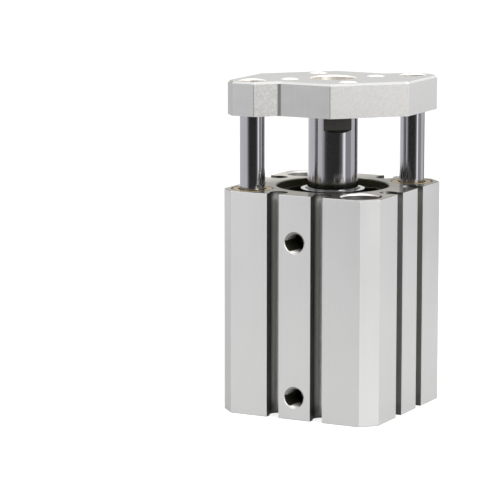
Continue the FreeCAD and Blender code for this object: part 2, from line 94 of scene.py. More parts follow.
class Tree:
    """A node tree, with short ways to add nodes to it."""

    def __init__(self, tree: bpy.types.NodeTree) -> None:
        """Keep the nodes and links of a material's or a world's tree at hand."""
        self.nodes = tree.nodes
        self.links = tree.links

    def feed(self, socket: Socket, value: Source | Colour) -> None:
        """Set an input to a constant, or link it to another node's output.

        Args:
            socket: The input to feed.
            value: A number, a colour, or an output of this tree.
        """
        if isinstance(value, Socket):
            self.links.new(value, socket)
        elif isinstance(value, tuple):
            socket.default_value = (*value, 1.0)
        else:
            socket.default_value = value

    def math(self, operation: str, first: Source, second: Source = 0.0) -> Socket:
        """Add a Math node.

        Args:
            operation: The node's operation.
            first: First number or output.
            second: Second number or output.

        Returns:
            The node's output.
        """
        node = self.nodes.new("ShaderNodeMath")
        node.operation = operation
        self.feed(node.inputs[0], first)
        self.feed(node.inputs[1], second)
        return node.outputs[0]

    def seen(self) -> Socket:
        """Mask of the rays that look at the studio.

        Returns:
            One for camera, glossy and transmission rays, zero for the rest.
        """
        rays = self.nodes.new("ShaderNodeLightPath").outputs
        direct = self.math("MAXIMUM", rays["Is Camera Ray"], rays["Is Glossy Ray"])
        return self.math("MAXIMUM", direct, rays["Is Transmission Ray"])

    def layer(self, share: Source, first: Socket, second: Socket) -> Socket:
        """Mix two shaders.

        Args:
            share: Zero for the first shader, one for the second.
            first: First shader.
            second: Second shader.

        Returns:
            The mixed shader.
        """
        node = self.nodes.new("ShaderNodeMixShader")
        self.feed(node.inputs["Fac"], share)
        self.links.new(first, node.inputs[1])
        self.links.new(second, node.inputs[2])
        return node.outputs[0]


class Shading(Tree):
    """One material's node tree, with the Object coordinates and what is worked out from them."""

    def __init__(self, name: str) -> None:
        """Start a material with a principled shader, and split the Object coordinates.

        Args:
            name: The material's name.
        """
        self.material = bpy.data.materials.new(name)
        self.material.use_nodes = True
        super().__init__(self.material.node_tree)
        self.shader = self.nodes["Principled BSDF"]
        self.place = self.nodes.new("ShaderNodeTexCoord").outputs["Object"]
        split = self.nodes.new("ShaderNodeSeparateXYZ")
        self.links.new(self.place, split.inputs[0])
        self.x, self.y, self.z = split.outputs

    def minus(self, first: Source, second: Source) -> Socket:
        """One value less another."""
        return self.math("SUBTRACT", first, second)

    def size(self, value: Source) -> Socket:
        """A value without its sign."""
        return self.math("ABSOLUTE", value)

    def below(self, value: Source, limit: float) -> Socket:
        """One where a length in metres is under a limit in millimetres, zero elsewhere."""
        return self.math("LESS_THAN", value, limit * MM)

    def above(self, value: Source, limit: float) -> Socket:
        """One where a length in metres is over a limit in millimetres, zero elsewhere."""
        return self.math("GREATER_THAN", value, limit * MM)

    def larger(self, first: Source, second: Source) -> Socket:
        """One where the first of two values is the larger, zero elsewhere."""
        return self.math("GREATER_THAN", first, second)

    def both(self, first: Source, second: Source) -> Socket:
        """Mask that holds where two masks hold."""
        return self.math("MULTIPLY", first, second)

    def either(self, first: Source, second: Source) -> Socket:
        """Mask that holds where one of two masks holds."""
        return self.math("MAXIMUM", first, second)

    def distance(self, across: Source, along: Source, middle: Pair = (0.0, 0.0)) -> Socket:
        """Distance of two coordinates from a place.

        Args:
            across: First coordinate, in metres.
            along: Second coordinate, in metres.
            middle: The place, in millimetres.

        Returns:
            The distance, in metres.
        """
        first = self.minus(across, middle[0] * MM)
        second = self.minus(along, middle[1] * MM)
        squares = self.math("ADD", self.math("POWER", first, 2.0), self.math("POWER", second, 2.0))
        return self.math("SQRT", squares)

    def from_axis(self) -> Socket:
        """Distance from the cylinder's axis, in metres."""
        return self.distance(self.x, self.y)

    def from_pair(self, place: Pair) -> Socket:
        """Distance in metres from an upright line, or from the one opposite it if that is closer."""
        opposite = (-place[0], -place[1])
        return self.math("MINIMUM", *[self.distance(self.x, self.y, line) for line in (place, opposite)])

    def noise(self, grain: Sizes, detail: float = 2.0) -> Socket:
        """Add a noise whose marks have a given size.

        Args:
            grain: Size of the marks along X, Y and Z, in millimetres.
            detail: Octaves of finer marks.

        Returns:
            The noise, from zero to one.
        """
        mapping = self.nodes.new("ShaderNodeMapping")
        mapping.inputs["Scale"].default_value = [1.0 / (size * MM) for size in grain]
        self.links.new(self.place, mapping.inputs["Vector"])
        node = self.nodes.new("ShaderNodeTexNoise")
        node.inputs["Scale"].default_value = 1.0
        node.inputs["Detail"].default_value = detail
        self.links.new(mapping.outputs["Vector"], node.inputs["Vector"])
        return node.outputs["Fac"]

    def cells(self, size: float) -> Socket:
        """Add small cells, each with its own random shade.

        Args:
            size: Width of a cell, in millimetres.

        Returns:
            The shade, from zero to one.
        """
        node = self.nodes.new("ShaderNodeTexVoronoi")
        node.inputs["Scale"].default_value = 1.0 / (size * MM)
        self.links.new(self.place, node.inputs["Vector"])
        split = self.nodes.new("ShaderNodeSeparateColor")
        self.links.new(node.outputs["Color"], split.inputs["Color"])
        return split.outputs["Red"]

    def stretch(self, value: Source, source: Pair, target: Pair) -> Socket:
        """Stretch one range over another, and keep the result inside it.

        Args:
            value: The value.
            source: Ends of the first range.
            target: What they become.

        Returns:
            The stretched value.
        """
        node = self.nodes.new("ShaderNodeMapRange")
        self.feed(node.inputs["Value"], value)
        for name, end in zip(("From Min", "From Max", "To Min", "To Max"), source + target):
            node.inputs[name].default_value = end
        return node.outputs["Result"]

    def spread(self, share: Source, low: float, high: float) -> Socket:
        """Value that goes from low to high as a share goes from zero to one."""
        return self.stretch(share, (0.0, 1.0), (low, high))

    def between(self, value: Source, low: float, high: float) -> Socket:
        """Share of the way that a length in metres has gone from low to high, in millimetres."""
        return self.stretch(value, (low * MM, high * MM), (0.0, 1.0))

    def mix(self, kind: str, share: Source, first: Source | Colour, second: Source | Colour) -> Socket:
        """Add a Mix node.

        Args:
            kind: What it mixes.
            share: Zero for the first, one for the second.
            first: First number, colour or output.
            second: Second number, colour or output.

        Returns:
            The node's output.
        """
        node = self.nodes.new("ShaderNodeMix")
        node.data_type = kind
        self.feed(node.inputs["Factor"], share)
        self.feed(node.inputs["A"], first)
        self.feed(node.inputs["B"], second)
        return node.outputs["Result"]

    def blend(self, share: Source, first: Colour | Socket, second: Colour | Socket) -> Socket:
        """Mix two colours."""
        return self.mix("RGBA", share, first, second)

    def pick(self, share: Source, first: Source, second: Source) -> Socket:
        """Mix two numbers."""
        return self.mix("FLOAT", share, first, second)

    def average(self, first: Source, second: Source) -> Socket:
        """Mean of two numbers."""
        return self.pick(0.5, first, second)

    def vary(self, share: Source, colour: Colour, levels: Pair) -> Socket:
        """Mix of two shades of a colour, which is multiplied by one level and by the other."""
        return self.blend(share, shade(colour, levels[0]), shade(colour, levels[1]))

    def relief(self, height: Source, depth: float) -> None:
        """Give the shader a bump.

        Args:
            height: The relief, from zero to one.
            depth: Its depth, in millimetres.
        """
        node = self.nodes.new("ShaderNodeBump")
        node.inputs["Distance"].default_value = depth * MM
        self.feed(node.inputs["Height"], height)
        self.links.new(node.outputs["Normal"], self.shader.inputs["Normal"])

    def paint(self, colour: Socket, roughness: Socket) -> None:
        """Give the shader its colour and roughness."""
        self.links.new(colour, self.shader.inputs["Base Color"])
        self.links.new(roughness, self.shader.inputs["Roughness"])

    def dull(self, tint: Colour | Socket) -> None:
        """Multiply what the surface reflects at a glancing view by a tint."""
        self.feed(self.shader.inputs["Specular Tint"], tint)

    def surface(self, shader: Socket) -> None:
        """Show another shader in place of the principled one."""
        self.links.new(shader, self.nodes["Material Output"].inputs["Surface"])


def shade(colour: Colour, level: float) -> Colour:
    """A colour with its channels multiplied by a level."""
    return colour[0] * level, colour[1] * level, colour[2] * level


# Finishes

@dataclass(frozen=True)
class Finish:
    """What the finishes have in common.

    Attributes:
        name: Name of the material.
        colour: Middle colour.
        wander: How far the colour strays from the middle, as a share.
        roughness: Middle roughness.
        metallic: One for bare metal, zero for rubber.
        stray: How far the roughness strays from its middle.
        depth: Depth of the relief, in millimetres.
    """

    name: str
    colour: Colour
    wander: float
    roughness: float
    metallic: float = 1.0
    stray: float = 0.06
    depth: float = 0.004

    def make(self) -> Material:
        """Make the material.

        Returns:
            The material.
        """
        tree = Shading(self.name)
        tree.shader.inputs["Metallic"].default_value = self.metallic
        self.pattern(tree)
        return tree.material

    def tones(self, tree: Shading, share: Source, level: float = 1.0) -> Socket:
        """Middle colour as it strays from dark to light, multiplied by a level."""
        return tree.vary(share, self.colour, (level * (1 - self.wander), level * (1 + self.wander)))

    def uneven(self, tree: Shading, share: Source) -> Socket:
        """Roughness as it strays from smooth to rough."""
        return tree.spread(share, self.roughness - self.stray, self.roughness + self.stray)

    def pattern(self, tree: Shading) -> None:
        """Paint the finish; each kind has its own pattern."""
        raise NotImplementedError


@dataclass(frozen=True)
class BodyPlan:
    """Places on the body that its finish follows, in millimetres."""

    # Outline, and the mounting holes: their offset along X and Y, counterbores and chamfers
    half_width: float = BODY_HIGH[0]
    top: float = BODY_HIGH[2]
    chamfer: float = 3.4
    corner: float = GUIDE_OFFSET
    counterbore: float = 4.9
    counterbore_chamfer: float = 0.42
    # Sensor grooves: offset on a side, mouth, round part, and how their painted light and shade change
    groove_middle: float = 5.6
    groove_mouth: float = 1.55
    groove_radius: float = 2.1
    groove_depth: float = 3.0
    groove_neck: float = 1.6
    groove_back: float = 1.7
    groove_fade: float = 3.5
    groove_sink: float = 1.55
    # Widest radius of the bore, and the depth below the top from which it is painted dark as shade
    ring_groove: float = 13.9
    mouth_chamfer: float = 0.1
    # Distances over which a painted glare makes the ends lighter, from the guide rods' diagonal and along X
    glare: Pair = (10.0, 20.0)
    glare_side: Pair = (11.0, 14.0)
    # Distances behind that diagonal over which a painted sheen strengthens the ends' glancing reflections
    back_sheen: Pair = (8.0, 26.0)
    # Height of the ends' broken edges, and depth to which an end counts as flat
    edge_break: float = 0.09
    face_skin: float = 0.01
    # Ports, with the depths from which their walls start and can take painted shade
    port_heights: Pair = tuple(MOUNTS[f"{label}_port"]["pos_m"][2] / MM for label in PORTS)
    port_radius: float = MOUNTS["rod_side_port"]["dims"]["r_mm"]
    port_chamfer: float = 0.1
    port_depth: float = 5.5
    port_skin: float = 0.01
    shade_skin: float = 0.02
    # How far a mask reaches past the shape that it follows
    skin: float = 0.06


@dataclass(frozen=True)
class AnodisedExtrusion(Finish):
    """Clear anodised extrusion: die lines up its sides, bright counterbores, painted light and shade.

    Levels multiply a colour, at the bottom and the top of a side, or in and between marks; on the sides they
    paint light and shade.
    """

    depth: float = 0.003
    plan: BodyPlan = BodyPlan()
    # Painted light and shade: levels on the port face, the faces beside it, and the chamfers beside the
    # mounting holes
    port_light_levels: Pair = (0.995, 1.08)
    side_light_levels: Pair = (0.94, 1.105)
    mount_light_levels: Pair = (1.03, 0.95)
    # Painted shade: what the colour of the chamfers beside the guide rods is multiplied by
    guide_shade_level: float = 0.78
    # Ends: colour, and what glancing reflections are multiplied by, plain and with the painted sheen at the
    # back
    end_colour: Colour = (0.41, 0.403, 0.381)
    end_tints: tuple[Colour, Colour] = ((0.56, 0.548, 0.515), (0.92, 0.9, 0.85))
    end_roughness: float = 0.18
    # How much lighter the painted glare makes the ends beside the mounting holes
    end_glare: float = 1.4
    edge_colour: Colour = (0.3, 0.3, 0.29)
    # Grooves: painted shade on the sides, painted light on the back, and how much of that light stays at the
    # upper ends
    groove_shade: Colour = (0.06, 0.06, 0.056)
    groove_light: Colour = (0.95, 0.95, 0.92)
    groove_glint: float = 0.5
    # Painted light and shade in the mouths of the grooves, in the port face and in the faces beside it
    neck_light_and_shade: tuple[Colour, Colour] = ((0.09, 0.09, 0.084), (0.55, 0.55, 0.52))
    # Painted shade inside the bore
    bore_shade: Colour = (0.072, 0.072, 0.045)
    # Counterbores' painted light and shade: away from the bore in front, away from it behind, and beside it
    wall_light_and_shade: tuple[Colour, ...] = ((0.1, 0.1, 0.095), (0.6, 0.59, 0.57), (0.26, 0.252, 0.24))
    rim_light_and_shade: tuple[Colour, ...] = ((0.1, 0.1, 0.095), (0.62, 0.61, 0.595), (0.93, 0.91, 0.88))
    # Least and greatest roughness of the counterbores and the ports
    cut_roughness: Pair = (0.41, 0.51)
    # Ports: painted light below the mouth's middle and shade above, painted shade deep in, its depth, its
    # band's heights
    port_light_and_shade: tuple[Colour, Colour] = ((0.72, 0.71, 0.685), (0.33, 0.32, 0.305))
    shade_colour: Colour = (0.0216, 0.0216, 0.0135)
    port_dark: float = 5.0
    port_shade_band: Pair = (-1.95, 0.5)
    # Sizes of the marks, in millimetres, and how strongly they show
    die_line: Sizes = (0.5, 0.5, 60.0)
    grain: Sizes = (0.12, 0.12, 0.12)
    grain_share: float = 0.3
    cloud: Sizes = (9.0, 9.0, 14.0)
    saw_line: Sizes = (0.15, 8.0, 8.0)
    saw_levels: Pair = (0.9, 1.1)
    tool_mark: Sizes = (3.0, 3.0, 0.1)
    tool_levels: Pair = (0.92, 1.06)

    def grooves(self, tree: Shading) -> tuple[Socket, Socket]:
        """Mask of the sensor grooves, and their colour, which is painted light and shade.

        Args:
            tree: The node tree.

        Returns:
            One inside the grooves and zero elsewhere, and the painted light and shade inside them.
        """
        plan = self.plan
        x = tree.size(tree.x)
        y = tree.size(tree.y)
        outward = tree.math("MAXIMUM", x, y)
        sideways = tree.math("MINIMUM", x, y)
        middle = plan.half_width - plan.groove_depth
        reach = tree.distance(outward, sideways, (middle, plan.groove_middle))
        round_part = tree.below(reach, plan.groove_radius + plan.skin)
        offset = tree.size(tree.minus(sideways, plan.groove_middle * MM))
        narrow = tree.below(offset, plan.groove_mouth + plan.skin)
        mouth = tree.both(narrow, tree.above(outward, middle))
        inside = tree.below(outward, plan.half_width - plan.skin)
        depth = tree.between(outward, middle, middle - plan.groove_back)
        # Painted shade in front, painted light towards the back, and painted light and shade in the mouths
        colour = tree.blend(depth, self.groove_shade, self.groove_light)
        beside = tree.larger(x, y)
        neck = tree.above(outward, plan.half_width - plan.groove_neck)
        colour = tree.blend(neck, colour, tree.blend(beside, *self.neck_light_and_shade))
        # Painted shade towards the bottom and the top; beside the port face part of the back's painted light
        # stays as a glint
        rise = tree.between(tree.z, 0.0, plan.groove_fade)
        sink = tree.between(tree.z, plan.top, plan.top - plan.groove_sink)
        sink = tree.either(sink, tree.both(tree.both(beside, depth), self.groove_glint))
        colour = tree.blend(tree.math("MINIMUM", rise, sink), self.groove_shade, colour)
        return tree.both(inside, tree.either(round_part, mouth)), colour

    def bore(self, tree: Shading) -> Socket:
        """Mask of the bore and the step at its mouth, which are painted dark as shade."""
        inside = tree.below(tree.from_axis(), self.plan.ring_groove + self.plan.skin)
        return tree.both(inside, tree.below(tree.z, self.plan.top - self.plan.mouth_chamfer))

    def ends(self, tree: Shading) -> tuple[Socket, Socket]:
        """Masks of the two sawn and faced ends, and of the broken edges alone.

        Args:
            tree: The node tree.

        Returns:
            One on the ends with their edges, one on their edges, and zero elsewhere.
        """
        half = self.plan.top / 2
        reach = tree.size(tree.minus(tree.z, half * MM))
        ends = tree.above(reach, half - self.plan.edge_break)
        return ends, tree.both(ends, tree.below(reach, half - self.plan.face_skin))

    def faced(self, tree: Shading) -> Socket:
        """Colour of the ends: fine saw lines, and a painted glare beside the mounting holes.

        Args:
            tree: The node tree.

        Returns:
            The colour.
        """
        away = tree.between(tree.size(tree.minus(tree.x, tree.y)), *self.plan.glare)
        glare = tree.both(away, tree.between(tree.size(tree.x), *self.plan.glare_side))
        saw = tree.noise(self.saw_line, detail=3.0)
        plain = tree.vary(saw, self.end_colour, self.saw_levels)
        light = tree.vary(saw, shade(self.end_colour, self.end_glare), self.saw_levels)
        return tree.blend(glare, plain, light)

    def sides(self, tree: Shading, share: Source) -> Socket:
        """Colour of the four sides and of the chamfers between them, with painted light and shade.

        Args:
            tree: The node tree.
            share: Zero where the skin is dark, one where it is light.

        Returns:
            The colour.
        """
        plan = self.plan
        guided = tree.larger(tree.math("MULTIPLY", tree.x, tree.y), 0.0)
        x = tree.size(tree.x)
        y = tree.size(tree.y)
        rise = tree.between(tree.z, 0.0, plan.top)
        # Painted light and shade: each face has its own levels from bottom to top, and the chamfers beside
        # the guide rods are darker
        ported, beside, mounted = [
            tree.blend(rise, *[self.tones(tree, share, level) for level in levels])
            for levels in (self.port_light_levels, self.side_light_levels, self.mount_light_levels)]
        flats = tree.blend(tree.larger(x, y), ported, beside)
        chamfers = tree.above(tree.math("ADD", x, y), 2 * plan.half_width - plan.chamfer - plan.skin)
        shaded = self.tones(tree, share, self.guide_shade_level)
        return tree.blend(chamfers, flats, tree.blend(guided, mounted, shaded))

    def counterbores(self, tree: Shading, tools: Socket) -> tuple[Socket, Socket]:
        """Mask of the two counterbores, and their colour, with painted light and shade.

        Args:
            tree: The node tree.
            tools: Tool marks on their walls.

        Returns:
            One inside the counterbores and zero elsewhere, and the colour inside them.
        """
        plan = self.plan
        inside = tree.below(tree.from_pair((plan.corner, -plan.corner)), plan.counterbore + plan.skin)
        walls = [tree.vary(tools, colour, self.tool_levels) for colour in self.wall_light_and_shade]
        rims = tree.above(tree.z, plan.top - plan.counterbore_chamfer)
        colour = tree.blend(rims, self.round_hole(tree, walls), self.round_hole(tree, self.rim_light_and_shade))
        return tree.both(inside, tree.below(tree.z, plan.top - plan.skin)), colour

    def round_hole(self, tree: Shading, colours: Sequence[Colour | Socket]) -> Socket:
        """Painted light and shade that change round a counterbore.

        Args:
            tree: The node tree.
            colours: Colour away from the bore, in front and behind, and colour beside it.

        Returns:
            The colour.
        """
        front, behind, beside = colours
        away = tree.blend(tree.larger(tree.y, tree.x), front, behind)
        inner = tree.below(tree.from_axis(), self.plan.corner * math.sqrt(2))
        return tree.blend(inner, away, beside)

    def ports(self, tree: Shading) -> tuple[Socket, Socket]:
        """Mask of the two ports, and their colour, which is painted light and shade.

        Args:
            tree: The node tree.

        Returns:
            One inside the ports and zero elsewhere, and the colour inside them.
        """
        plan = self.plan
        low, high = plan.port_heights
        shade_low, shade_high = self.port_shade_band
        upper = tree.above(tree.z, (low + high) / 2)
        rise = tree.minus(tree.z, tree.pick(upper, low * MM, high * MM))
        reach = tree.distance(tree.x, rise)
        near = tree.below(reach, plan.port_radius + plan.port_chamfer + plan.skin)
        depth = tree.math("ADD", tree.y, plan.half_width * MM)
        sunk = tree.both(tree.above(depth, plan.port_skin), tree.below(depth, plan.port_depth + plan.skin))
        in_shade = tree.both(tree.below(rise, shade_high), tree.above(rise, shade_low))
        in_shade = tree.both(in_shade, tree.above(depth, plan.port_chamfer + plan.shade_skin))
        dark = tree.between(depth, plan.port_chamfer, plan.port_chamfer + self.port_dark)
        # Painted light on the lower mouth, painted shade above it, deeper in, and in a band round the middle
        mouth = tree.blend(tree.above(rise, 0.0), *self.port_light_and_shade)
        return tree.both(near, sunk), tree.blend(tree.either(in_shade, dark), mouth, self.shade_colour)

    def pattern(self, tree: Shading) -> None:
        """Paint the skin and the ends, then the grooves and the machined places, with painted light and
        shade.

        Args:
            tree: The node tree.
        """
        lines = tree.noise(self.die_line, detail=3.0)
        grain = tree.noise(self.grain, detail=1.0)
        skin = tree.average(tree.pick(self.grain_share, lines, grain), tree.noise(self.cloud))
        tools = tree.noise(self.tool_mark, detail=1.0)
        ends, edges = self.ends(tree)
        end_colour = tree.blend(edges, self.faced(tree), self.edge_colour)
        colour = tree.blend(ends, self.sides(tree, skin), end_colour)
        grooves, groove_light = self.grooves(tree)
        holes, hole_colour = self.counterbores(tree, tools)
        ports, port_colour = self.ports(tree)
        # Painted light and shade in the grooves, painted shade in the bore, and painted light and shade in
        # the holes
        colour = tree.blend(grooves, colour, groove_light)
        colour = tree.blend(self.bore(tree), colour, self.bore_shade)
        colour = tree.blend(holes, colour, hole_colour)
        colour = tree.blend(ports, colour, port_colour)
        roughness = tree.pick(ends, self.uneven(tree, skin), self.end_roughness)
        rough_cut = tree.spread(tools, *self.cut_roughness)
        tree.paint(colour, tree.pick(tree.either(holes, ports), roughness, rough_cut))
        # Painted sheen: the ends' glancing reflections grow stronger towards the back
        back_sheen = tree.between(tree.minus(tree.y, tree.x), *self.plan.back_sheen)
        tree.dull(tree.blend(ends, WHITE, tree.blend(back_sheen, *self.end_tints)))
        tree.relief(tree.math("ADD", grain, lines), self.depth)


@dataclass(frozen=True)
class PlatePlan:
    """Places on the end plate that its finish follows, in millimetres."""

    # Reach of the two ends, height of the top, and height of the chamfer round it
    end: float = PLATE_HIGH[0]
    top: float = PLATE_HIGH[2]
    lip: float = 0.52
    # How far x and y differ on the slanting sides, short and long, and their sum on cut ears
    slant: float = 6.7
    long_cut: float = 19.87
    ear_cut: float = 35.3
    # Upright lines along which shade is painted, at an inner corner and on edges, and how far that reaches
    inner_corner: Pair = (-7.08, -13.87)
    inner_reach: float = 0.46
    ear_edge: Pair = (-11.5, -18.2)
    waist_edge: Pair = (5.97, -13.9)
    edge_reach: float = 0.14
    # Radii of the holes with their chamfers, and their offsets from the axis
    hole: float = 5.6
    guide_hole: float = 3.35
    corner: float = GUIDE_OFFSET
    tap: float = 2.35
    tap_offset: float = TAP_OFFSET
    # How far a mask reaches past the shape that it follows, and the same at the ends
    skin: float = 0.06
    end_skin: float = 0.015


@dataclass(frozen=True)
class MilledPlate(Finish):
    """Milled and anodised plate: smooth fronts, grained slanting sides, painted light and shade on faces and
    corners.
    """

    stray: float = 0.05
    depth: float = 0.01
    plan: PlatePlan = PlatePlan()
    # Short and long slanting sides, ends and top, whose colours differ as painted light and shade, and their
    # strays
    slant_colour: Colour = (0.515, 0.51, 0.494)
    side_colour: Colour = (0.55, 0.545, 0.528)
    end_colour: Colour = (0.79, 0.79, 0.775)
    top_colour: Colour = (0.47, 0.47, 0.455)
    grain_strays: tuple[float, ...] = (0.26, 0.13, 0.05, 0.12)
    grained_roughness: float = 0.48
    # Painted shade on the chamfer round the top, and painted light on its stretches along the ends
    lip_light_and_shade: tuple[Colour, Colour] = ((0.42, 0.42, 0.41), (0.78, 0.78, 0.76))
    # Painted shade: what the colour is multiplied by on the ears' cut corners
    cut_shade_level: float = 0.72
    # Painted shade in the inner corners and along the upright edges
    crease_shade: Colour = (0.38, 0.38, 0.37)
    hole_colour: Colour = (0.96, 0.91, 0.84)
    # Sizes of the marks, in millimetres
    grain: float = 0.28
    cloud: Sizes = (5.0, 5.0, 3.0)
    brush_line: Sizes = (0.2, 0.2, 6.0)

    def slanting(self, tree: Shading, place: float) -> Socket:
        """Mask of two opposite sides on which x and y differ by a length in millimetres."""
        across = tree.size(tree.minus(tree.x, tree.y))
        return tree.below(tree.size(tree.minus(across, place * MM)), self.plan.skin)

    def near(self, tree: Shading, *places: tuple[Pair, float]) -> Socket:
        """Mask of what lies close to upright lines, or to the lines opposite them.

        Args:
            tree: The node tree.
            places: Where each line stands, and how far the mask reaches from it, in millimetres.

        Returns:
            One close to them, zero elsewhere.
        """
        mask = 0.0
        for place, reach in places:
            mask = tree.either(mask, tree.below(tree.from_pair(place), reach))
        return mask

    def holes(self, tree: Shading) -> Socket:
        """Mask of the holes that open on the top.

        Args:
            tree: The node tree.

        Returns:
            One inside the holes, zero elsewhere.
        """
        plan = self.plan
        inside = self.near(
            tree, ((0.0, 0.0), plan.hole), ((plan.corner, plan.corner), plan.guide_hole),
            ((plan.tap_offset, plan.tap_offset), plan.tap), ((plan.tap_offset, -plan.tap_offset), plan.tap))
        return tree.both(inside, tree.below(tree.z, plan.top - plan.skin))

    def edges(self, tree: Shading) -> Socket:
        """Mask of the inner corners and the upright edges that take painted shade.

        Args:
            tree: The node tree.

        Returns:
            One on them, zero elsewhere.
        """
        plan = self.plan
        close = self.near(
            tree, (plan.ear_edge, plan.edge_reach), (plan.waist_edge, plan.edge_reach),
            (plan.inner_corner, plan.inner_reach))
        return tree.both(close, tree.below(tree.z, plan.top - plan.lip))

    def pattern(self, tree: Shading) -> None:
        """Paint the smooth faces, then the grained ones, then the painted shade at corners and edges, then
        the holes.

        Args:
            tree: The node tree.
        """
        plan = self.plan
        reach = tree.size(tree.x)
        total = tree.size(tree.math("ADD", tree.x, tree.y))
        clouds = tree.noise(self.cloud, detail=3.0)
        mixed = tree.average(tree.noise(self.brush_line), clouds)
        cuts = tree.above(total, plan.ear_cut - plan.skin)
        # Painted shade on the ears' cut corners, then painted shade and light on the chamfer round the top
        colour = tree.blend(cuts, self.tones(tree, mixed), self.tones(tree, mixed, self.cut_shade_level))
        lip = tree.blend(tree.above(reach, plan.end - plan.lip), *self.lip_light_and_shade)
        colour = tree.blend(tree.above(tree.z, plan.top - plan.lip), colour, lip)
        speckle = tree.average(tree.cells(self.grain), tree.noise((self.grain,) * 3, detail=3.0))
        # Grained faces, each with a colour that also holds painted light and shade
        masks = (
            self.slanting(tree, plan.slant), self.slanting(tree, plan.long_cut),
            tree.above(reach, plan.end - plan.end_skin), tree.above(tree.z, plan.top - plan.skin))
        owns = (self.slant_colour, self.side_colour, self.end_colour, self.top_colour)
        grained = 0.0
        for mask, own, stray in zip(masks, owns, self.grain_strays):
            colour = tree.blend(mask, colour, tree.vary(speckle, own, (1 - stray, 1 + stray)))
            grained = tree.either(grained, mask)
        colour = tree.blend(self.edges(tree), colour, self.crease_shade)
        colour = tree.blend(self.holes(tree), colour, self.hole_colour)
        roughness = tree.pick(grained, self.uneven(tree, clouds), self.grained_roughness)
        tree.paint(colour, roughness)
        tree.relief(tree.both(grained, speckle), self.depth)


@dataclass(frozen=True)
class HardChrome(Finish):
    """Ground and chromed rod: mirror bright, faintest grinding lines, dull milled flats with a painted dark
    reflection.
    """

    stray: float = 0.01
    # Sizes of the grinding lines and the smears, in millimetres
    line: Sizes = (6.0, 6.0, 0.06)
    smear: Sizes = (2.5, 2.5, 5.0)
    # How much more reflections blur along the rod than round it, and that blur's turn
    streak: float = 0.9
    streak_turn: float = 0.25
    # Flats: degrees from -Y towards +X, distances from the axis, and lower end, past a rod without them
    flat_turn: float = 38.0
    flat_start: float = 4.95
    flat_reach: float = 5.97
    flat_low: float = 65.2
    # Painted reflection: the flats' dark colour
    flat_dark_reflection: Colour = (0.125, 0.123, 0.116)
    flat_levels: Pair = (0.85, 1.15)
    flat_roughness: float = 0.3
    # Size of a milling line on the flats, in millimetres
    mill_line: Sizes = (0.3, 0.3, 4.0)

    def flats(self, tree: Shading) -> Socket:
        """Mask of the wrench flats and the slopes below them.

        Args:
            tree: The node tree.

        Returns:
            One on the flats, zero on the ground surface.
        """
        turn = math.radians(self.flat_turn)
        first = tree.math("MULTIPLY", tree.x, math.sin(turn))
        second = tree.math("MULTIPLY", tree.y, -math.cos(turn))
        facing = tree.size(tree.math("ADD", first, second))
        cut = tree.both(tree.above(facing, self.flat_start), tree.above(tree.z, self.flat_low))
        return tree.both(cut, tree.below(tree.from_axis(), self.flat_reach))

    def pattern(self, tree: Shading) -> None:
        """Paint the grinding lines and the flats.

        Args:
            tree: The node tree.
        """
        smears = tree.noise(self.smear)
        marks = tree.both(tree.noise(self.line), smears)
        ground = tree.spread(marks, self.roughness, self.roughness + self.stray)
        flats = self.flats(tree)
        milled = tree.vary(tree.noise(self.mill_line), self.flat_dark_reflection, self.flat_levels)
        tree.shader.inputs["Anisotropic"].default_value = self.streak
        tree.shader.inputs["Anisotropic Rotation"].default_value = self.streak_turn
        tree.paint(
            tree.blend(flats, self.tones(tree, smears), milled),
            tree.pick(flats, ground, self.flat_roughness))


@dataclass(frozen=True)
class SinteredBronze(Finish):
    """Oil-soaked sintered bronze: tan, with dark open pores, and painted shade along its edges."""

    stray: float = 0.12
    depth: float = 0.01
    # Sizes of the pores and the oily patches, in millimetres, and the patches' tone
    pore: Sizes = (0.16, 0.16, 0.16)
    patch: Sizes = (1.8, 1.8, 1.8)
    patch_tone: float = 0.6
    # What glancing reflections are multiplied by
    tint: Colour = (0.64, 0.61, 0.53)
    # Offset of the bushes, and radii inside and outside which shade is painted
    corner: float = GUIDE_OFFSET
    mouth: float = 3.42
    rim: float = 4.62
    shade_colour: Colour = (0.1, 0.065, 0.03)

    def in_shade(self, tree: Shading) -> Socket:
        """Mask of the edges that take painted shade.

        Args:
            tree: The node tree.

        Returns:
            One on them, zero elsewhere.
        """
        reach = tree.from_pair((self.corner, self.corner))
        away = tree.above(tree.from_axis(), self.corner * math.sqrt(2))
        rim = tree.both(tree.above(reach, self.rim), away)
        return tree.either(tree.below(reach, self.mouth), rim)

    def pattern(self, tree: Shading) -> None:
        """Paint the pores, an oily unevenness, and painted shade along the edges.

        Args:
            tree: The node tree.
        """
        pores = tree.noise(self.pore)
        patches = tree.noise(self.patch)
        colour = self.tones(tree, tree.pick(patches, pores, self.patch_tone))
        # Painted shade along the edges
        colour = tree.blend(self.in_shade(tree), colour, self.shade_colour)
        tree.paint(colour, self.uneven(tree, patches))
        tree.dull(self.tint)
        tree.relief(pores, self.depth)


